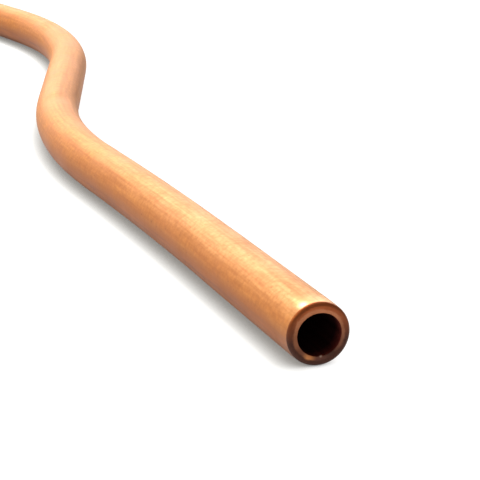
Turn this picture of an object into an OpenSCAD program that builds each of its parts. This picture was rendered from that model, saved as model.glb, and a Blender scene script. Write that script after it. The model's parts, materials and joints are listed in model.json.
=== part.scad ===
// Soft copper tube bent in a flat S, with an open bore from end to end.
// The tube's axis lies in the XY plane. The near mouth is at the origin and faces -Y,
// and the tube runs away along +Y. A turn to the left is positive, seen from above.

/* [Tube] */
// Outside diameter
tube_od = 6.35; // [5:0.05:12.7]
// Wall thickness
wall = 0.91; // [0.5:0.01:1.2]
// Length along the centreline, from mouth to mouth
tube_length = 305; // [260:1:900]

/* [Cut ends] */
// Radius that the cutting wheel rolls on to the outer edge
edge_roll = 0.42; // [0.1:0.01:0.45]
// Bevel left by the reamer round the inside of the mouth
mouth_bevel = 0.06; // [0.02:0.01:0.15]
// Straight run behind the near mouth
near_straight = 25; // [10:0.5:40]
// Straight run before the far mouth
far_straight = 25; // [10:0.5:40]

/* [Bends] */
// Centreline radius of the slight bow in the near leg
bow_radius = 725; // [300:5:2000]
// Angle of the slight bow, to the left
bow_angle = 2.9; // [1:0.1:8]
// Centreline radius of the near bend
near_bend_radius = 94; // [40:1:150]
// Angle of the near bend, to the right
near_bend_angle = 22.5; // [5:0.5:40]
// Straight run between the two bends
middle_straight = 27.2; // [5:0.1:50]
// Short straight left where one bend follows on another
bend_gap = 2; // [1:0.1:5]
// Centreline radius of the far bend
far_bend_radius = 81; // [40:1:150]
// Angle of the far bend, to the left
far_bend_angle = 30; // [5:0.5:40]
// How far bending draws the tube's radius in, which also seats each bend inside the straights
draw_in = 0.02; // [0.01:0.005:0.05]
// Centreline radius of the curve that the tail keeps from the coil it was wound in
coil_set_radius = 200; // [150:5:600]

/* [Hidden] */
$fn = 96;

outer_r = tube_od / 2;
bore_r = outer_r - wall;
// How far the bore's cutter runs out past each mouth
cut_past = 1;
// How far each end of a bend runs on inside the straight next to it
bend_lap = 0.2;

// Length of an arc on the centreline
function arc_length(radius, angle) = radius * angle * PI / 180;

tail_curve_length = tube_length - near_straight - arc_length(bow_radius, bow_angle)
    - arc_length(near_bend_radius, near_bend_angle) - middle_straight
    - arc_length(far_bend_radius, far_bend_angle) - far_straight - 2 * bend_gap;
coil_set_angle = tail_curve_length / coil_set_radius * 180 / PI;

// Turns a shape that stands up along +Z so that it runs along +Y
module lay_along_y() {
    rotate([-90, 0, 0]) children();
}

// Straight round bar, with its children placed at its far end
module straight(length, radius) {
    lay_along_y() cylinder(h = length, r = radius);
    translate([0, length, 0]) children();
}

// Round bar bent to the left, with its children placed at its far end
module bend_left(bend_radius, angle, radius) {
    lap_angle = bend_lap / bend_radius * 180 / PI;
    translate([-bend_radius, 0, 0])
    rotate_extrude(start = -lap_angle, angle = angle + 2 * lap_angle)
    translate([bend_radius, 0]) circle(r = radius - draw_in);

    translate([-bend_radius * (1 - cos(angle)), bend_radius * sin(angle), 0])
    rotate([0, 0, angle]) children();
}

// Round bar bent to the right, with its children placed at its far end
module bend_right(bend_radius, angle, radius) {
    mirror([1, 0, 0]) bend_left(bend_radius, angle, radius) mirror([1, 0, 0]) children();
}

// Round bar along the tube's route between its straight ends, with its children placed at its far end
module bent_route(radius) {
    bend_left(bow_radius, bow_angle, radius)
    straight(bend_gap, radius)
    bend_right(near_bend_radius, near_bend_angle, radius)
    straight(middle_straight, radius)
    bend_left(far_bend_radius, far_bend_angle, radius)
    straight(bend_gap, radius)
    bend_left(coil_set_radius, coil_set_angle, radius)
    children();
}

// Disc whose outer edge is rounded over its whole thickness, from its small face at z 0
module rolled_edge() {
    flat_r = outer_r - edge_roll;
    rotate_extrude() {
        square([flat_r, edge_roll]);
        intersection() {
            translate([flat_r, edge_roll]) circle(r = edge_roll);
            translate([flat_r, 0]) square(edge_roll);
        }
    }
}

// The tube's outside, filled in
module outside() {
    lay_along_y() rolled_edge();
    translate([0, edge_roll, 0])
    straight(near_straight - edge_roll, outer_r)
    bent_route(outer_r)
    straight(far_straight - edge_roll, outer_r)
    translate([0, edge_roll, 0]) mirror([0, 1, 0]) lay_along_y() rolled_edge();
}

// Reamed mouth of the bore, widening towards z 0
module reamed_mouth() {
    cylinder(h = mouth_bevel, r1 = bore_r + mouth_bevel, r2 = bore_r);
}

// The space inside the tube, run out past both mouths
module bore() {
    lay_along_y() reamed_mouth();
    translate([0, -cut_past, 0])
    straight(near_straight + cut_past, bore_r)
    bent_route(bore_r)
    straight(far_straight + cut_past, bore_r)
    translate([0, -cut_past, 0]) mirror([0, 1, 0]) lay_along_y() reamed_mouth();
}

module copper_tube() {
    color("#e0955c") difference() {
        outside();
        bore();
    }
}

copper_tube();
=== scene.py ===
# %% [markdown]
# # A bent length of soft copper tube
# Soft copper tube is drawn straight through a die, annealed, wound in a coil and later bent by hand.
# This lesson follows the same order: the tube is modelled straight, its two cut ends are shaped, and only
# then is it bent along its route. What the surface looks like is stored while the tube is still straight,
# so that the draw lines run along it through every bend, as they do on the real one.

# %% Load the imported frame
import bmesh
import bpy
import json
import math
from mathutils import Matrix, Vector


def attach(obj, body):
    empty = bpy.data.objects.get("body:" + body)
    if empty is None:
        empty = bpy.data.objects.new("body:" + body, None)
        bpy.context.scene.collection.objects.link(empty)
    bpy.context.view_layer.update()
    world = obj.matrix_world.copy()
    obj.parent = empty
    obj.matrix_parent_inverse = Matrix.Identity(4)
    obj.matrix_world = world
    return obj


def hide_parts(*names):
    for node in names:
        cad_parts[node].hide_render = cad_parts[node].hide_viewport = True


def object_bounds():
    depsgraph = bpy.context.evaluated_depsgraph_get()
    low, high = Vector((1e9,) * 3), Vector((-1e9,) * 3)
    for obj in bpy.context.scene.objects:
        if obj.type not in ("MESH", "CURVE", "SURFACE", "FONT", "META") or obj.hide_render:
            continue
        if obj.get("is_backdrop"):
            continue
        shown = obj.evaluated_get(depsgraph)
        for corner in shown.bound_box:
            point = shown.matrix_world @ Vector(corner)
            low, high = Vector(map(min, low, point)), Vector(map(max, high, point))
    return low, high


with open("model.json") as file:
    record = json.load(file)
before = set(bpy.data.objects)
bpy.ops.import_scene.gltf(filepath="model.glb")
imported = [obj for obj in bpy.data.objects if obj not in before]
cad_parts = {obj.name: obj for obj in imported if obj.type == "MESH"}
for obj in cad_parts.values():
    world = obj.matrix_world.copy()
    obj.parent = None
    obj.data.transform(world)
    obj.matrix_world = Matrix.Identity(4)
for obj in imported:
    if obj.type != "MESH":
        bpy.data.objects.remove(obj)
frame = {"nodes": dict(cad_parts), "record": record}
cad_low, cad_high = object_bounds()
scene = bpy.context.scene
MM = 0.001


def in_mm(lengths, digits=2):
    """Lengths in metres as rounded millimetres, for printing."""
    return [round(length / MM, digits) for length in lengths]


print("nodes:", list(frame["nodes"]), "box in mm:", in_mm((*cad_low, *cad_high)))

# %% [markdown]
# ## Sizes
# The frame's record states the tube's outside and bore as mounts, so those sizes are read from it.
# The straights and bends are repeated here by name, with a turn to the left as positive. The curve that the
# tail keeps from its coil takes up whatever length the other stretches leave.

# %% Read the sizes and lay out the route
mounts = {mount["name"]: mount for mount in frame["record"]["mounts"]}
outer_r = mounts["near_outside"]["dims"]["r_mm"] * MM
bore_r = mounts["near_bore"]["dims"]["r_mm"] * MM
wall = outer_r - bore_r
tube_length = 305 * MM
near_straight = 25 * MM
bow_radius = 725 * MM
bow_angle = 2.9
near_bend_radius = 94 * MM
near_bend_angle = -22.5
middle_straight = 27.2 * MM
far_bend_radius = 81 * MM
far_bend_angle = 30
bend_gap = 2 * MM
coil_set_radius = 200 * MM
far_straight = 25 * MM


def straight_run(length):
    """A stretch of the route as its length and its turn."""
    return length, 0.0


def bend_run(radius, degrees):
    return radius * math.radians(abs(degrees)), math.radians(degrees)


route = [
    straight_run(near_straight),
    bend_run(bow_radius, bow_angle),
    straight_run(bend_gap),
    bend_run(near_bend_radius, near_bend_angle),
    straight_run(middle_straight),
    bend_run(far_bend_radius, far_bend_angle),
    straight_run(bend_gap),
]
tail_length = tube_length - far_straight - sum(length for length, turn in route)
route.append(bend_run(coil_set_radius, math.degrees(tail_length / coil_set_radius)))
route.append(straight_run(far_straight))
print("route in mm:", in_mm(length for length, turn in route), "wall:", in_mm([wall]))

# %% [markdown]
# ## Camera
# The photograph was taken from close by, a little to the left of the cut end and looking down at it.
# The focal length is given in pixels of the 480 pixel frame, as it was found, and turned into a lens.

# %% Set the camera
FRAME_PIXELS = 480
FOCAL_PIXELS = 1470.5
SENSOR_WIDTH = 36
QUARTER_TURN = math.pi / 2
camera_height = 51.09 * MM
mouth_right_of_camera = 7.38 * MM
mouth_ahead_of_camera = 126.22 * MM
camera_pitch = math.radians(18.34)
camera_yaw = math.radians(23.03)

right = Vector((math.cos(camera_yaw), -math.sin(camera_yaw), 0))
ahead = Vector((math.sin(camera_yaw), math.cos(camera_yaw), 0))
up = Vector((0, 0, 1))
camera_data = bpy.data.cameras.new("camera")
camera_data.sensor_width = SENSOR_WIDTH
camera_data.lens = SENSOR_WIDTH * FOCAL_PIXELS / FRAME_PIXELS
camera_data.clip_start = 1 * MM
camera = bpy.data.objects.new("camera", camera_data)
camera.location = up * camera_height - right * mouth_right_of_camera - ahead * mouth_ahead_of_camera
camera.rotation_euler = (QUARTER_TURN - camera_pitch, 0, -camera_yaw)
scene.collection.objects.link(camera)
scene.camera = camera
print("camera at", in_mm(camera.location), "lens", round(camera_data.lens, 1))

# %% [markdown]
# ## The tube, still straight
# A round tube starts as a circle. It is extruded along +Y to the tube's full length and its lengthwise
# edges are subdivided, which gives enough rings to bend smoothly. One call of subdivide makes 100 cuts at
# most, so a second call halves each piece. A cylinder primitive would do as well, but it would bring caps
# that have to be deleted.

# %% Draw the straight skin
ROUND_SIDES = 128
ring_cuts = (100, 1)
shortest_lengthwise = 0.1 * MM


def deselect_all():
    bpy.ops.object.select_all(action="DESELECT")


def edit(thing, kind):
    """Opens one object alone in edit mode."""
    deselect_all()
    thing.select_set(True)
    bpy.context.view_layer.objects.active = thing
    bpy.ops.object.mode_set(mode="EDIT")
    bpy.ops.mesh.select_mode(type=kind)


def select_where(thing, kind, test):
    """Selects only the vertices, edges or faces in edit mode that pass the test, and counts them."""
    bpy.ops.mesh.select_all(action="DESELECT")
    mesh = bmesh.from_edit_mesh(thing.data)
    picked = [part for part in getattr(mesh, kind) if test(part)]
    for part in picked:
        part.select_set(True)
    mesh.select_flush_mode()
    bmesh.update_edit_mesh(thing.data)
    return len(picked)


def runs_lengthwise(edge):
    return abs(edge.verts[0].co.y - edge.verts[1].co.y) > shortest_lengthwise


deselect_all()
bpy.ops.mesh.primitive_circle_add(vertices=ROUND_SIDES, radius=outer_r, rotation=(QUARTER_TURN, 0, 0))
tube = bpy.context.object
tube.name = "bent_tube"
bpy.ops.object.transform_apply(rotation=True)
edit(tube, "EDGE")
bpy.ops.mesh.select_all(action="SELECT")
bpy.ops.mesh.extrude_region_move(TRANSFORM_OT_translate={"value": (0, tube_length, 0)})
for cuts in ring_cuts:
    select_where(tube, "edges", runs_lengthwise)
    bpy.ops.mesh.subdivide(number_cuts=cuts)
bpy.ops.mesh.select_all(action="SELECT")
bpy.ops.mesh.normals_make_consistent(inside=False)
bpy.ops.object.mode_set(mode="OBJECT")
print("skin:", len(tube.data.vertices), "vertices,", len(tube.data.polygons), "faces")

# %% [markdown]
# ## Drawn in at the bends
# Bending stretches the outside of a tube and draws its section in by a hair. The stretches that will be
# bent go into a vertex group, and a Displace modifier moves only that group inwards. A second Displace with
# a soft cloud texture gives the skin the faint waviness that soft copper gets from handling, so that its
# highlight isn't ruled with a straight edge.

# %% Draw in the bends and let the skin waver
draw_in = 0.02 * MM
handling_wave = 0.015 * MM
handling_size = 9 * MM


def apply_modifier(thing, kind, name, **settings):
    modifier = thing.modifiers.new(name, kind)
    for key, value in settings.items():
        setattr(modifier, key, value)
    bpy.context.view_layer.objects.active = thing
    bpy.ops.object.modifier_apply(modifier=name)


bends = tube.vertex_groups.new(name="bends")
start = 0.0
for length, turn in route:
    if turn:
        bent = [v.index for v in tube.data.vertices if start <= v.co.y <= start + length]
        bends.add(bent, 1.0, "REPLACE")
    start += length
apply_modifier(tube, "DISPLACE", "draw_in", strength=-draw_in, mid_level=0, vertex_group="bends")

clouds = bpy.data.textures.new("handling", "CLOUDS")
clouds.noise_scale = handling_size
apply_modifier(tube, "DISPLACE", "handling", strength=handling_wave, mid_level=1, texture=clouds)
print("bends hold", sum(1 for v in tube.data.vertices if v.groups), "vertices")

# %% [markdown]
# ## Necked ends
# A tube cutter squeezes the tube as its wheel goes round, so the last millimetre of each end is drawn in
# slightly. The mesh has a ring only every millimetre and a half, so bisect first lays three closer rings at
# each end. Each ring is then scaled towards the axis, more from the sides, where the rollers pressed. The
# necking is listed as a depth for each distance from the mouth.

# %% Neck the ends
hair = 0.002 * MM
necking = {0: 0.02 * MM, 0.6 * MM: 0.015 * MM, 0.9 * MM: 0.01 * MM, 1.25 * MM: 0.004 * MM}
side_press = 4.5


def from_axis(point):
    return math.hypot(point.x, point.z)


def from_end(point):
    """Distance along the tube to the nearer mouth."""
    return min(point.y, tube_length - point.y)


edit(tube, "VERT")
for distance in necking:
    if distance:
        for ring_at in (distance, tube_length - distance):
            bpy.ops.mesh.select_all(action="SELECT")
            bpy.ops.mesh.bisect(plane_co=(0, ring_at, 0), plane_no=(0, 1, 0))
for distance, depth in necking.items():
    ring = select_where(tube, "verts", lambda v: abs(from_end(v.co) - distance) < hair)
    narrower = 1 - side_press * depth / outer_r
    lower = 1 - depth / outer_r
    bpy.ops.transform.resize(value=(narrower, 1, lower), center_override=(0, 0, 0))
    depths = in_mm((side_press * depth, depth), digits=3)
    print(ring, "points necked by", depths, "mm at the sides and in height")
bpy.ops.object.mode_set(mode="OBJECT")

# %% [markdown]
# ## Wall and cut edges
# Solidify gives the skin its wall, inwards only, so that the outside keeps its size. The cutter's wheel
# rolls the outer edge of the cut over and leaves a small sharp bevel round the bore. Both are made by
# bevelling the two edge loops of each mouth. The edges are picked by their place: at an end, and at the
# outside or the bore.

# %% Give the tube its wall and roll its edges
edge_roll = 0.42 * MM
mouth_bevel = 0.06 * MM
roll_segments = 10
bevel_segments = 3
round_profile = 0.5
middle_of_wall = (outer_r + bore_r) / 2

apply_modifier(tube, "SOLIDIFY", "wall", thickness=wall, offset=-1, use_even_offset=True, use_rim=True)


def mouth_edge(edge, low, high):
    """True for the round edges of a mouth that lie between two radii."""
    return all(from_end(v.co) < mouth_bevel and low < from_axis(v.co) < high for v in edge.verts)


edit(tube, "EDGE")
outer_edges = select_where(tube, "edges", lambda edge: mouth_edge(edge, middle_of_wall, outer_r))
bpy.ops.mesh.bevel(offset=edge_roll, segments=roll_segments, profile=round_profile, affect="EDGES")
inner_edges = select_where(tube, "edges", lambda edge: mouth_edge(edge, 0, bore_r + mouth_bevel))
bpy.ops.mesh.bevel(offset=mouth_bevel, segments=bevel_segments, profile=round_profile, affect="EDGES")
bpy.ops.object.mode_set(mode="OBJECT")
print("bevelled", outer_edges, "outer and", inner_edges, "inner mouth edges")

# %% [markdown]
# ## A mouth that isn't quite round
# Nobody reamed this cut with care. The rollers have already brought the inner edge in from the sides. The
# wheel pushed it in from above and below as well, and left a small burr at the bottom. The points of the
# inner edges are scaled by a small amount and the few points of the burr are lifted. The next ring of the
# bore stays where it was, so the push fades out inside the tube.

# %% Push the inner edge in
mouth_height = 0.955
burr_lift = 0.10 * MM
burr_reach = 0.16 * MM
burr_x = 0.12 * MM


def inner_edge(point):
    return from_end(point) < 2 * mouth_bevel and from_axis(point) < bore_r + mouth_bevel + hair


def on_burr(point):
    low_at_near_mouth = point.z < 0 and point.y < near_straight
    return inner_edge(point) and low_at_near_mouth and abs(point.x - burr_x) < burr_reach


edit(tube, "VERT")
edge_points = select_where(tube, "verts", lambda v: inner_edge(v.co))
bpy.ops.transform.resize(value=(1, 1, mouth_height), center_override=(0, 0, 0))
burr_points = select_where(tube, "verts", lambda v: on_burr(v.co))
bpy.ops.transform.translate(value=(0, 0, burr_lift))
bpy.ops.object.mode_set(mode="OBJECT")
print("inner edges:", edge_points, "points, burr:", burr_points, "points")

# %% [markdown]
# ## Keep the straight places
# A pattern that follows the metal has to know where each point lay before bending. The straight positions
# are stored as a vector attribute, in millimetres, which the bend won't change and the materials can read.

# %% Store each point's place in the straight tube
places = tube.data.attributes.new("straight_place", "FLOAT_VECTOR", "POINT")
places.data.foreach_set("vector", [c / MM for v in tube.data.vertices for c in v.co])
print("stored", len(places.data), "straight places")

# %% [markdown]
# ## Nodes by name
# The tube has three finishes: the drawn outside, the cut ends and the bore. Their node trees use the same
# few kinds of node again and again, so these get helpers. A node can be added, set and linked in one line,
# which reads like the row of nodes that a hand would lay out in the shader editor.

# %% Helpers for nodes
def add_node(tree, kind, inputs=None, **settings):
    """Adds a node, sets its properties, and sets or links its inputs by name or number."""
    node = tree.nodes.new(kind)
    for key, value in settings.items():
        setattr(node, key, value)
    for key, value in (inputs or {}).items():
        if isinstance(value, bpy.types.NodeSocket):
            tree.links.new(value, node.inputs[key])
        else:
            node.inputs[key].default_value = value
    return node


def work_out(tree, operation, first, second):
    return add_node(tree, "ShaderNodeMath", {0: first, 1: second}, operation=operation).outputs[0]


def fade(tree, value, start, end, kind="SMOOTHSTEP"):
    """A mask that goes from 0 to 1 as a value goes from start to end."""
    limits = {"Value": value, "From Min": start, "From Max": end}
    return add_node(tree, "ShaderNodeMapRange", limits, interpolation_type=kind).outputs[0]


def scale_mask(tree, mask, low, high):
    """Turns a mask from 0 to 1 into a value between two others."""
    return add_node(tree, "ShaderNodeMapRange", {"Value": mask, "To Min": low, "To Max": high}).outputs[0]


def new_group(name, sizes, mask):
    """An empty group that takes a place and some sizes and puts out one mask."""
    group = bpy.data.node_groups.new(name, "ShaderNodeTree")
    group.interface.new_socket("Place", in_out="INPUT", socket_type="NodeSocketVector")
    for label, size in sizes.items():
        socket = group.interface.new_socket(label, in_out="INPUT", socket_type="NodeSocketFloat")
        socket.default_value = size
    group.interface.new_socket(mask, in_out="OUTPUT", socket_type="NodeSocketFloat")
    return group, add_node(group, "NodeGroupInput").outputs


def finish_group(group, mask):
    add_node(group, "NodeGroupOutput", {0: mask})
    print("group", group.name, "has", len(group.nodes), "nodes")


# %% [markdown]
# ## Lines along the tube
# A drawing die leaves lines that run the length of a tube. A wave texture would give lines too, but all of
# them alike. Here the place is divided by a small width and a great length before it goes into a noise,
# which stretches the noise into lines of uneven strength. The middle of the noise is spread over the whole
# range, because plain noise seldom comes near 0 or 1.

# %% Make the lines
NOISE_LOW = 0.3
NOISE_HIGH = 0.7
line_detail = 3.0

draw_lines, given = new_group("draw_lines", {"Width": 0.4, "Length": 40.0}, "Lines")
width = given["Width"]
stretch = add_node(draw_lines, "ShaderNodeCombineXYZ", {"X": width, "Y": given["Length"], "Z": width})
shrunk = add_node(
    draw_lines, "ShaderNodeVectorMath", {0: given["Place"], 1: stretch.outputs[0]}, operation="DIVIDE",
)
noise = add_node(
    draw_lines, "ShaderNodeTexNoise",
    {"Vector": shrunk.outputs[0], "Scale": 1.0, "Detail": line_detail},
)
finish_group(draw_lines, fade(draw_lines, noise.outputs[0], NOISE_LOW, NOISE_HIGH, "LINEAR"))

# %% [markdown]
# ## Soft patches
# Copper that has been handled tarnishes in patches, and its fine grain is uneven as well. Both are noise of
# one size or another, so one group with a Size serves for both. Painting them by hand would tie the pattern
# to this one length of tube.

# %% Make the patches
patch_detail = 4.0
patch_roughness = 0.6

patches, given = new_group("patches", {"Size": 5.0}, "Patches")
per_mm = work_out(patches, "DIVIDE", 1.0, given["Size"])
noise = add_node(
    patches, "ShaderNodeTexNoise",
    {"Vector": given["Place"], "Scale": per_mm, "Detail": patch_detail, "Roughness": patch_roughness},
)
finish_group(patches, fade(patches, noise.outputs[0], NOISE_LOW, NOISE_HIGH, "LINEAR"))

# %% [markdown]
# ## Scattered specks
# A few dark specks sit on the metal. A Voronoi texture gives each of its cells one centre. A dot is drawn
# round the centre, and the cell's own colour, which is random but always the same, decides whether the dot
# is kept. A sharp threshold on noise would give blots of all shapes instead.

# %% Make the specks
specks, given = new_group("specks", {"Spacing": 1.5, "Radius": 0.12, "Share": 0.3}, "Specks")
per_mm = work_out(specks, "DIVIDE", 1.0, given["Spacing"])
cells = add_node(specks, "ShaderNodeTexVoronoi", {"Vector": given["Place"], "Scale": per_mm})
reach = work_out(specks, "DIVIDE", given["Radius"], given["Spacing"])
dot = fade(specks, cells.outputs["Distance"], reach, 0.0, "LINEAR")
chance = add_node(specks, "ShaderNodeSeparateColor", {0: cells.outputs["Color"]})
chosen = work_out(specks, "LESS_THAN", chance.outputs[0], given["Share"])
finish_group(specks, work_out(specks, "MULTIPLY", dot, chosen))

# %% [markdown]
# ## One metal to start from
# Each finish starts as the same bare metal, which reads the straight places. On it the groups are placed
# with their own sizes, and colours are laid over each other like thin glazes, each through its own mask.
# One big colour ramp could do the same, but a glaze is easier to judge by itself.

# %% Helpers for finishes
# A Mix node numbers its colour sockets after those for values and vectors
MIX_UNDER = 6
MIX_OVER = 7
MIX_RESULT = 2


def new_finish(name):
    """A metal with the tube's straight places, ready for its nodes."""
    material = bpy.data.materials.new(name)
    material.use_nodes = True
    tree = material.node_tree
    shader = tree.nodes["Principled BSDF"]
    shader.inputs["Metallic"].default_value = 1.0
    place = add_node(tree, "ShaderNodeAttribute", attribute_name="straight_place").outputs["Vector"]
    return material, tree, shader, place


def use_group(tree, group, place, **sizes):
    return add_node(tree, "ShaderNodeGroup", {"Place": place, **sizes}, node_tree=group).outputs[0]


def glaze(tree, mask, under, over):
    """Lays one colour over another where the mask is 1."""
    node = add_node(tree, "ShaderNodeMix", {0: mask}, data_type="RGBA")
    for socket, colour in ((node.inputs[MIX_UNDER], under), (node.inputs[MIX_OVER], over)):
        if isinstance(colour, bpy.types.NodeSocket):
            tree.links.new(colour, socket)
        else:
            socket.default_value = (*colour, 1)
    return node.outputs[MIX_RESULT]


def distance_from(tree, place, centre):
    node = add_node(tree, "ShaderNodeVectorMath", {0: place, 1: centre}, operation="DISTANCE")
    return node.outputs["Value"]


def round_spot(tree, place, centre, reach):
    """A mask that fades from 1 at a place to 0 at some distance from it."""
    return fade(tree, distance_from(tree, place, centre), reach, 0.0)


def split(tree, place):
    return add_node(tree, "ShaderNodeSeparateXYZ", {0: place}).outputs


# %% [markdown]
# ## Drawn copper: colour
# The outside is plain annealed copper. It is orange, with lighter and darker bands along it where it was
# drawn through the die, soft patches of tarnish, fine lines and grain, and a few dark specks. Painted shade
# makes the underside darker and browner, and a painted highlight makes the top of the near end paler. Beside
# the cut a small pale spot is a painted highlight.

# %% Colour the drawn copper
# Places and sizes in the finishes are in millimetres on the straight tube
band_dark = (0.63, 0.258, 0.068)
band_light = (0.78, 0.36, 0.108)
tarnish_orange = (0.55, 0.19, 0.045)
tarnish_strength = 0.75
# Painted shade: the underside is coloured darker and browner where shade falls on it
underside_shade_colour = (0.19, 0.066, 0.046)
underside_shade_strength = 0.9
underside_shade_from = 1.4
underside_shade_full = -1.1
# Painted highlight: the top of the near end is coloured paler where the light falls on it
top_highlight_colour = (0.86, 0.53, 0.29)
top_highlight_strength = 0.5
top_highlight_from = 0.9
top_highlight_full = 2.7
top_highlight_start = 15
top_highlight_end = 85
line_brown = (0.46, 0.155, 0.04)
line_strength = 0.7
grain_brown = (0.40, 0.135, 0.04)
grain_strength = 0.6
speck_brown = (0.2, 0.08, 0.035)
speck_strength = 0.65
# Painted highlight: a pale spot beside the cut stands for the hot spot that the light makes there
highlight_spot_colour = (0.80, 0.50, 0.31)
highlight_spot_at = (-1.35, 0.85, 2.8)
highlight_spot_reach = 0.8

copper, tree, shader, place = new_finish("drawn_copper")
bands = use_group(tree, draw_lines, place, Width=0.9, Length=60)
fine_lines = use_group(tree, draw_lines, place, Width=0.4, Length=8)
tarnish = use_group(tree, patches, place, Size=4)
grain = use_group(tree, patches, place, Size=0.55)
dots = use_group(tree, specks, place, Spacing=1.1, Radius=0.14, Share=0.4)
along = split(tree, place)["Y"]
height = split(tree, place)["Z"]
# Mask for the painted shade on the underside
painted_underside_shade = fade(tree, height, underside_shade_from, underside_shade_full)
# Mask for the painted highlight on the top of the near end
near_end = fade(tree, along, top_highlight_end, top_highlight_start)
painted_top_highlight = work_out(tree, "MULTIPLY", near_end, fade(tree, height, top_highlight_from, top_highlight_full))

colour = glaze(tree, bands, band_dark, band_light)
colour = glaze(tree, scale_mask(tree, tarnish, tarnish_strength, 0.0), colour, tarnish_orange)
# Painted shade on the underside
colour = glaze(tree, scale_mask(tree, painted_underside_shade, 0.0, underside_shade_strength), colour, underside_shade_colour)
# Painted highlight on the top of the near end
colour = glaze(tree, scale_mask(tree, painted_top_highlight, 0.0, top_highlight_strength), colour, top_highlight_colour)
colour = glaze(tree, scale_mask(tree, fine_lines, line_strength, 0.0), colour, line_brown)
colour = glaze(tree, scale_mask(tree, grain, grain_strength, 0.0), colour, grain_brown)
colour = glaze(tree, scale_mask(tree, dots, 0.0, speck_strength), colour, speck_brown)
# Painted highlight beside the cut
colour = glaze(tree, round_spot(tree, place, highlight_spot_at, highlight_spot_reach), colour, highlight_spot_colour)
tree.links.new(colour, shader.inputs["Base Color"])
print("drawn copper's colour:", len(tree.nodes), "nodes")

# %% [markdown]
# ## Drawn copper: satin
# Annealed copper is satin, so its roughness spreads what it reflects over a wide angle. Beside the cut the
# cutter's rollers have polished it and the roughness drops. A thin dull coat stands for the film that a
# fingered metal has. The lines and grain also go into a bump of a few thousandths of a millimetre, which
# is too fine to be worth modelling.

# %% Give the copper its satin
satin_low = 0.54
satin_high = 0.64
roller_polish = 0.17
polish_from = 3.2
polish_full = 0.6
film_weight = 0.15
film_roughness = 0.5
line_depth = 0.006 * MM

beside_cut = fade(tree, along, polish_from, polish_full)
satin = scale_mask(tree, tarnish, satin_low, satin_high)
polish = scale_mask(tree, beside_cut, 0.0, roller_polish)
tree.links.new(work_out(tree, "SUBTRACT", satin, polish), shader.inputs["Roughness"])
shader.inputs["Coat Weight"].default_value = film_weight
shader.inputs["Coat Roughness"].default_value = film_roughness
relief = work_out(tree, "ADD", fine_lines, grain)
bump = add_node(tree, "ShaderNodeBump", {"Height": relief, "Distance": line_depth})
tree.links.new(bump.outputs[0], shader.inputs["Normal"])
print("drawn copper:", len(tree.nodes), "nodes")

# %% [markdown]
# ## Cut end
# The rolled lip of a cut is dull and brown, and the cut face inside it is a lighter ring with the wheel's
# marks. Two materials would meet in a ruled circle, so one finish holds both, which lets their border waver.
# It tells them apart by the distance from a centre a little beside the tube's axis, because the lip isn't
# equally wide all round.

# %% Tell the lip from the face
lip_inner_r = 2.53
lip_blur = 0.12
lip_waver = 0.08
lip_centre = (-0.08, 0, 0)
across_tube = (1, 0, 1)

cut_end, tree, shader, place = new_finish("cut_end")
tarnish = use_group(tree, patches, place, Size=1.0)
flattened = add_node(tree, "ShaderNodeVectorMath", {0: place, 1: across_tube}, operation="MULTIPLY")
radius = distance_from(tree, flattened.outputs[0], lip_centre)
radius = work_out(tree, "ADD", radius, scale_mask(tree, tarnish, -lip_waver, lip_waver))
on_lip = fade(tree, radius, lip_inner_r - lip_blur, lip_inner_r + lip_blur)
print("the lip reaches from", lip_inner_r, "mm to", in_mm([outer_r]), "mm from the axis")

# %% [markdown]
# ## The cut end's colours
# Lip and face carry painted light at the top and painted shade lower down. Low on the face there is a
# painted highlight, then a painted highlight on the burr and then a darker spot. The painted light on the
# face is strongest a little to the left of its top, and on the lip at its top, so each has its own
# direction:
# a dot product tells how far a point lies along one. The oxide makes the surface a little less than pure
# metal.

# %% Colour the cut end
# Painted light and shade: the face is coloured lighter towards its upper left and darker lower down
face_shade_colour = (0.10, 0.035, 0.028)
face_lit_colour = (0.68, 0.25, 0.11)
face_lit_towards = (-0.2, 0, 0.9)
face_darkest_at = -2.4
face_lightest_at = 2.4
# Painted highlight low on the face
face_highlight_colour = (0.78, 0.30, 0.10)
face_highlight_at = (-1.05, 0.0, -2.15)
face_highlight_reach = 0.85
# A darker spot low on the right of the face
face_dark_spot = (0.05, 0.018, 0.014)
dark_spot_at = (1.2, 0.0, -2.05)
dark_spot_reach = 1.0
# Painted light and shade: the lip is coloured lighter at its top and darker lower down
lip_shade_colour = (0.06, 0.017, 0.011)
lip_lit_colour = (0.52, 0.122, 0.03)
lip_darkest_at = -0.6
lip_lightest_at = 2.9
# Painted highlight on the burr
burr_highlight_colour = (0.42, 0.28, 0.22)
burr_at = (0.12, 0.0, -2.15)
burr_highlight_reach = 0.2
wheel_mark = (0.2, 0.08, 0.04)
mark_strength = 0.3
mark_depth = 0.008 * MM
cut_speck = (0.08, 0.03, 0.02)
cut_speck_strength = 0.5
cut_satin_low = 0.42
cut_satin_high = 0.58
oxide_metallic = 0.7

marks = use_group(tree, patches, place, Size=0.12)
dots = use_group(tree, specks, place, Spacing=0.5, Radius=0.08, Share=0.3)
# Masks for the painted light and shade of the face and of the lip
lean = add_node(tree, "ShaderNodeVectorMath", {0: place, 1: face_lit_towards}, operation="DOT_PRODUCT")
face_painted_light = fade(tree, lean.outputs["Value"], face_darkest_at, face_lightest_at, "LINEAR")
lip_painted_light = fade(tree, split(tree, place)["Z"], lip_darkest_at, lip_lightest_at, "LINEAR")
# Painted light and shade on the face
face_colour = glaze(tree, face_painted_light, face_shade_colour, face_lit_colour)
# Painted highlight low on the face
face_colour = glaze(tree, round_spot(tree, place, face_highlight_at, face_highlight_reach), face_colour, face_highlight_colour)
# Darker spot low on the right of the face
face_colour = glaze(tree, round_spot(tree, place, dark_spot_at, dark_spot_reach), face_colour, face_dark_spot)
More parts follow.
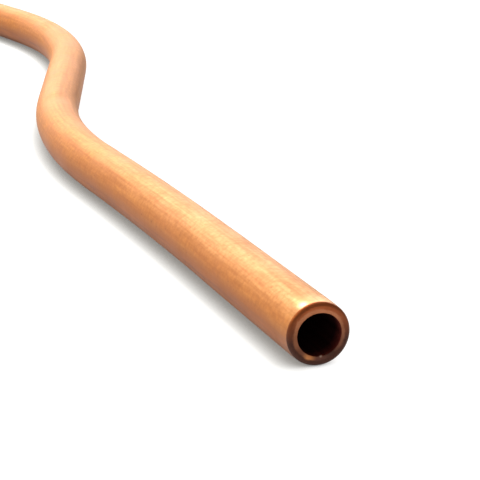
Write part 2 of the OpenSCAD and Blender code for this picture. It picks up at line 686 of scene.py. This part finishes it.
# Painted light and shade on the lip
lip_colour = glaze(tree, lip_painted_light, lip_shade_colour, lip_lit_colour)
colour = glaze(tree, on_lip, face_colour, lip_colour)
# Painted highlight on the burr
colour = glaze(tree, round_spot(tree, place, burr_at, burr_highlight_reach), colour, burr_highlight_colour)
colour = glaze(tree, scale_mask(tree, marks, mark_strength, 0.0), colour, wheel_mark)
colour = glaze(tree, scale_mask(tree, dots, 0.0, cut_speck_strength), colour, cut_speck)
tree.links.new(colour, shader.inputs["Base Color"])
tree.links.new(scale_mask(tree, tarnish, cut_satin_low, cut_satin_high), shader.inputs["Roughness"])
shader.inputs["Metallic"].default_value = oxide_metallic
bump = add_node(tree, "ShaderNodeBump", {"Height": marks, "Distance": mark_depth})
tree.links.new(bump.outputs[0], shader.inputs["Normal"])
print("cut end:", len(tree.nodes), "nodes")

# %% [markdown]
# ## Bore
# The bore has never been cleaned. It is nearly black, partly from the film that it keeps and partly as
# painted shade, with streaks along it and painted light in red just inside the mouth. It needs little
# detail, but it is a finish of its own, because light that falls in has to die away as it does in the real
# tube.

# %% Colour the bore
# The bore's near black is partly oxide film and partly painted shade
bore_oxide_and_shade = (0.06, 0.022, 0.024)
bore_light = (0.12, 0.04, 0.04)
# Painted light: red just inside the mouth, where light falls in, fading with depth
mouth_painted_light = (0.45, 0.09, 0.07)
painted_light_depth = 1.5
bore_satin_low = 0.55
bore_satin_high = 0.75

bore, tree, shader, place = new_finish("bore_skin")
streaks = use_group(tree, draw_lines, place, Width=0.5, Length=20)
near_mouth = fade(tree, split(tree, place)["Y"], painted_light_depth, 0.0, "LINEAR")
# Oxide film and painted shade, with streaks along the bore
colour = glaze(tree, streaks, bore_oxide_and_shade, bore_light)
# Painted light just inside the mouth
colour = glaze(tree, near_mouth, colour, mouth_painted_light)
tree.links.new(colour, shader.inputs["Base Color"])
tree.links.new(scale_mask(tree, streaks, bore_satin_low, bore_satin_high), shader.inputs["Roughness"])
print("bore:", len(tree.nodes), "nodes")

# %% [markdown]
# ## Which face has which finish
# By hand the faces would be picked ring by ring. Here the faces that look at the axis are the bore, the
# others within the rolled edge of an end are the cut, and all the rest keep the first slot, the drawn
# copper. This is done while the tube is straight, when place and normal are still simple to test.

# %% Give each face its finish
LOOKS_INWARDS = -0.8


def is_bore(face):
    middle = face.calc_center_median()
    outwards = Vector((middle.x, 0, middle.z)).normalized()
    return face.normal.dot(outwards) < LOOKS_INWARDS


def is_cut_end(face):
    return from_end(face.calc_center_median()) < edge_roll and not is_bore(face)


for material in (copper, cut_end, bore):
    tube.data.materials.append(material)
edit(tube, "FACE")
for slot, test in enumerate((is_cut_end, is_bore), start=1):
    tube.active_material_index = slot
    count = select_where(tube, "faces", test)
    bpy.ops.object.material_slot_assign()
    print(tube.data.materials[slot].name, "on", count, "faces")
bpy.ops.object.mode_set(mode="OBJECT")

# %% [markdown]
# ## A cut slightly out of square
# The cutter sat a little askew on the near end, so its face looks to one side by a few degrees. A lattice
# with one cell is laid over the last few millimetres. Its two sides at the cut are slid along the tube, one
# forwards and one back, and the points of the tube follow: the cut leans and the tube stays straight.
# Turning the end as a whole would put a kink in it.

# %% Lean the near cut
cut_lean = math.radians(6)
lean_reach = 6 * MM

deselect_all()
bpy.ops.object.add(type="LATTICE", location=(0, lean_reach / 2, 0))
cage = bpy.context.object
cage.scale = (2 * outer_r, lean_reach, 2 * outer_r)
for direction in "uvw":
    setattr(cage.data, f"interpolation_type_{direction}", "KEY_LINEAR")
slide = outer_r * math.tan(cut_lean) / lean_reach
for corner in cage.data.points:
    if corner.co_deform.y < 0:
        corner.co_deform.y -= math.copysign(slide, corner.co_deform.x)
apply_modifier(tube, "LATTICE", "lean", object=cage)
bpy.data.objects.remove(cage)
foremost = min(tube.data.vertices, key=lambda v: v.co.y).co
print("foremost point of the near cut in mm:", in_mm(foremost))

# %% [markdown]
# ## The route
# The centreline is drawn like a wire: one vertex is extruded along the straights and spun round the centre
# of each bend, and the finished wire becomes a curve. Spinning the tube's own rings would give the same
# shape, but the straight places would have to be worked out backwards.

# %% Draw the route as a wire
wire_step = 1 * MM
fewest_steps = 2

deselect_all()
bpy.ops.mesh.primitive_plane_add(size=wire_step)
wire = bpy.context.object
wire.name = "route"
edit(wire, "VERT")
bpy.ops.mesh.select_all(action="SELECT")
bpy.ops.mesh.merge(type="CENTER")
at = Vector((0, 0, 0))
heading = 0.0
for length, turn in route:
    steps = max(fewest_steps, round(length / wire_step))
    forward = Vector((-math.sin(heading), math.cos(heading), 0))
    if turn:
        centre = at + Vector((-forward.y, forward.x, 0)) * (length / turn)
        bpy.ops.mesh.spin(steps=steps, angle=-turn, center=centre, axis=up)
        at = centre + Matrix.Rotation(turn, 3, "Z") @ (at - centre)
        heading += turn
    else:
        step = forward * (length / steps)
        for _ in range(steps):
            bpy.ops.mesh.extrude_region_move(TRANSFORM_OT_translate={"value": step})
        at += forward * length
bpy.ops.object.mode_set(mode="OBJECT")
bpy.ops.object.convert(target="CURVE")
wire = bpy.context.object
far_mouth = Vector(mounts["far_face"]["pos_m"])
miss = in_mm(at - far_mouth, digits=4)
print("wire of", len(wire.data.splines[0].points), "points, off the far mouth by", miss)

# %% [markdown]
# ## The bend
# A Curve modifier bends the straight tube along the wire, which is what a bender's hands do. Along +Y this
# modifier also turns the section a quarter turn about its length, so the tube is first turned a quarter the
# other way. Otherwise the burr and the painted shade of the underside would end up on the tube's side.

# %% Bend the tube along the wire
smooth_below = math.radians(40)
LOWEST_CORNER = 0
HIGHEST_CORNER = 6

wire.data.twist_mode = "Z_UP"
deselect_all()
tube.select_set(True)
bpy.context.view_layer.objects.active = tube
tube.rotation_euler.y = QUARTER_TURN
bpy.ops.object.transform_apply(rotation=True)
apply_modifier(tube, "CURVE", "bend", object=wire, deform_axis="POS_Y")
bpy.data.objects.remove(wire)
deselect_all()
tube.select_set(True)
bpy.ops.object.shade_smooth_by_angle(angle=smooth_below)
corners = tube.bound_box
print("tube's box in mm:", in_mm(corners[LOWEST_CORNER]), in_mm(corners[HIGHEST_CORNER]))

# %% [markdown]
# ## Into the frame
# The tube is one solid and nothing on it moves, so it rides on the frame's only body and stands for its
# only node. Keeping the node and giving it a finish would do for a plain tube, but this one has a cut and
# a mouth of its own.

# %% Tie the tube to the frame
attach(tube, "root")
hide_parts("copper_tube")
print(tube.name, "stands for copper_tube with", len(tube.data.polygons), "faces")

# %% [markdown]
# ## Floor
# The tube lies on a plain matt floor. A pale floor under lamps alone would be grey, or else would throw too
# much light back at the metal. So its own colour is kept low, and a light of its own, seen only by the
# camera and in reflections, lifts it to white without lighting the tube.

# %% Lay the floor
floor_size = 40.0
floor_grey = (0.20, 0.20, 0.20, 1)

deselect_all()
bpy.ops.mesh.primitive_plane_add(size=floor_size, location=(0, 0, cad_low.z))
floor = bpy.context.object
floor.name = "floor"
white_floor = bpy.data.materials.new("white_floor")
white_floor.use_nodes = True
tree = white_floor.node_tree
shader = tree.nodes["Principled BSDF"]
shader.inputs["Base Color"].default_value = floor_grey
shader.inputs["Roughness"].default_value = 1.0
shader.inputs["Specular IOR Level"].default_value = 0.0
shader.inputs["Emission Color"].default_value = (1, 1, 1, 1)
floor.data.materials.append(white_floor)
floor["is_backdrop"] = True
print("floor at", in_mm([cad_low.z]), "mm")

# %% [markdown]
# ## A white that keeps the shadow
# Light of its own would wash the tube's shadow out. An Ambient Occlusion node measures how much of the space
# over each point of the floor is open, and the light is dimmed where the tube closes it off. Its direction
# leans to the right and away, so that the soft edge of shade is wider on the left, as in the photograph.

# %% Let the floor show white
white_strength = 1.0
least_strength = 0.1
fully_open = 0.75
shadow_reach = 2.6 * MM
shade_samples = 8
open_to_right = 0.6
open_to_back = 0.25
open_upwards = 0.9
shadow_from = (right * open_to_right + ahead * open_to_back + up * open_upwards).normalized()

rays = add_node(tree, "ShaderNodeLightPath").outputs
seen = work_out(tree, "MAXIMUM", rays["Is Camera Ray"], rays["Is Glossy Ray"])
seen = work_out(tree, "MAXIMUM", seen, rays["Is Transmission Ray"])
side = add_node(tree, "ShaderNodeCombineXYZ", {"X": shadow_from.x, "Y": shadow_from.y, "Z": shadow_from.z})
open_space = add_node(
    tree, "ShaderNodeAmbientOcclusion",
    {"Distance": shadow_reach, "Normal": side.outputs[0]}, samples=shade_samples,
)
opened = fade(tree, open_space.outputs["AO"], 0.0, fully_open, "LINEAR")
glow = scale_mask(tree, opened, least_strength, white_strength)
tree.links.new(work_out(tree, "MULTIPLY", seen, glow), shader.inputs["Emission Strength"])
print("floor:", len(tree.nodes), "nodes, shade reaches", in_mm([shadow_reach]), "mm")

# %% [markdown]
# ## Softboxes
# A satin metal shows its lamps as broad soft stripes, so the lamps are large and few. One stands high behind
# the tube and a wide one low behind it, which makes its top bright and leaves the cut end in its own shade.
# A warm one on the left and a weak low one fill the flank. A dim world stands for the room.

# %% Set the softboxes
light_distance = 2.4
focus_ahead = 0.07
light_focus = ahead * focus_ahead
room_colour = (1, 0.95, 0.82, 1)
room_strength = 0.25


def softbox(name, turn, rise, size, brightness, colour):
    """A rectangular lamp, placed by its turn from straight behind and its rise, in degrees."""
    turn = math.radians(turn)
    rise = math.radians(rise)
    level = ahead * math.cos(turn) + right * math.sin(turn)
    towards = level * math.cos(rise) + up * math.sin(rise)
    lamp = bpy.data.lights.new(name, "AREA")
    lamp.shape = "RECTANGLE"
    lamp.size, lamp.size_y = size
    lamp.energy = math.pi * lamp.size * lamp.size_y * brightness
    lamp.color = colour
    box = bpy.data.objects.new(name, lamp)
    box.location = light_focus + towards * light_distance
    box.rotation_euler = (-towards).to_track_quat("-Z", "Y").to_euler()
    box.visible_camera = False
    scene.collection.objects.link(box)
    print("softbox", name, "gives", round(lamp.energy, 1), "W")


softbox("high_back", turn=-30, rise=50, size=(1.1, 1.1), brightness=8.2, colour=(1, 0.97, 0.88))
softbox("low_back", turn=-8, rise=20, size=(2.8, 1.1), brightness=4.5, colour=(1, 0.97, 0.86))
softbox("left", turn=-90, rise=32, size=(1.1, 1.1), brightness=5.0, colour=(1, 0.92, 0.45))
softbox("low_left", turn=-54, rise=10, size=(1.4, 0.8), brightness=1.7, colour=(1, 0.98, 0.9))
world = bpy.data.worlds.new("studio")
scene.world = world
world.use_nodes = True
background = world.node_tree.nodes["Background"]
background.inputs["Color"].default_value = room_colour
background.inputs["Strength"].default_value = room_strength
scene.view_settings.view_transform = "Standard"

# %% [markdown]
# ## Last look at the sizes
# The dressed tube has to stay as large as the solid that it stands for. Its box is measured once more, and
# the difference from the first one is printed.

# %% Write the sizes and finish
low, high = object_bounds()
print("grown by mm:", in_mm((*(cad_low - low), *(high - cad_high)), digits=3))
